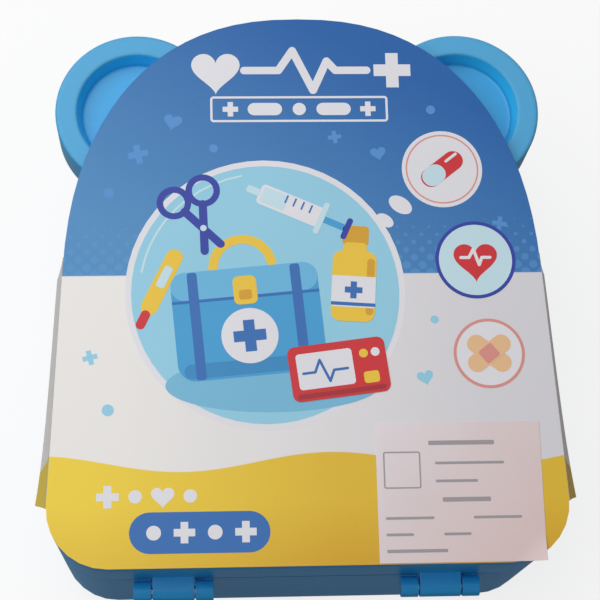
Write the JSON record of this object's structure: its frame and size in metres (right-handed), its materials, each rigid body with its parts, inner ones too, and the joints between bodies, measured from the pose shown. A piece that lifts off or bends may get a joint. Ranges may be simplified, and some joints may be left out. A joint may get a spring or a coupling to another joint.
{
  "type": "toy doctor case",
  "caption": "Bear-eared toy medical carry case: hinged lid with hanging tools, fitted tray of play instruments, swinging carry handle, flip latch and printed display card.",
  "frame": {"origin": "middle of the flat back face that the case lies on", "axes": "+Z out of the lid's front, +Y towards the ears and the carry handle, X across the width"},
  "size_m": [0.1888, 0.2096, 0.0913],
  "materials": {
    "case_blue": "glossy sky blue injection-moulded plastic",
    "pin_steel": "plain steel wire pin",
    "tray_white": "white moulded plastic",
    "toy_yellow": "glossy yellow plastic",
    "toy_red": "glossy red plastic",
    "toy_blue": "glossy dark blue plastic",
    "toy_navy": "dark plastic foot",
    "toy_white": "white moulded plastic",
    "print_sheet": "printed card sheet",
    "print_card": "printed card with a satin varnish",
    "label_white": "blank white sticker"
  },
  "bodies": {
    "base": {"base_shell": "case_blue", "hinge_pins": "pin_steel", "tray": "tray_white", "tray_cup": "tray_white", "bottle": "toy_yellow", "kit_case": "toy_yellow", "monitor": "toy_red", "knife": "toy_red", "spoon": "toy_red", "scope": "toy_yellow", "scope_foot": "toy_navy", "hammer": "toy_red"},
    "lid": {"lid_shell": "case_blue", "ear_left": "case_blue", "ear_right": "case_blue", "catch_tab": "case_blue", "hook_bar": "toy_yellow", "basket": "toy_yellow", "inner_sheet": "print_sheet", "scissors_fixed": "toy_blue", "tongs_fixed": "toy_blue", "syringe_barrel": "toy_white"},
    "handle": {"handle": "toy_yellow"},
    "latch": {"latch": "toy_yellow"},
    "button": {"monitor_button": "toy_yellow"},
    "scissors_half": {"scissors_moving": "toy_blue"},
    "tongs_half": {"tongs_moving": "toy_blue"},
    "plunger": {"syringe_plunger": "toy_white"},
    "card": {"card_panel": "print_card", "card_flap_left": "print_card", "card_flap_right": "print_card", "shop_label": "label_white"}
  },
  "joints": [
    {"name": "lid_hinge", "type": "hinge", "parent": "base", "child": "lid", "pos_m": [0, -0.1006, 0.065], "axis": [1, 0, 0], "range_deg": [0, 105]},
    {"name": "handle_swing", "type": "hinge", "parent": "base", "child": "handle", "pos_m": [0, 0.0985, 0.052], "axis": [1, 0, 0], "range_deg": [0, 170]},
    {"name": "latch_flip", "type": "hinge", "parent": "base", "child": "latch", "pos_m": [0, 0.1015, 0.052], "axis": [1, 0, 0], "range_deg": [0, 180]},
    {"name": "button_press", "type": "slide", "parent": "base", "child": "button", "axis": [0, 0, -1], "range_m": [0, 0.0015], "stiffness_N_per_m": 400},
    {"name": "scissors_pivot", "type": "hinge", "parent": "lid", "child": "scissors_half", "pos_m": [-0.0175, 0.034, 0.08], "axis": [0, 0, 1], "range_deg": [-8, 12]},
    {"name": "tongs_pivot", "type": "hinge", "parent": "lid", "child": "tongs_half", "pos_m": [0.03644, 0.03111, 0.08], "axis": [0, 0, 1], "range_deg": [-20, 0]},
    {"name": "plunger_slide", "type": "slide", "parent": "lid", "child": "plunger", "axis": [1, 0, 0], "range_m": [0, 0.012]},
    {"name": "card_lift", "type": "slide", "parent": "lid", "child": "card", "axis": [0, 0, 1], "range_m": [0, 0.1]}
  ]
}
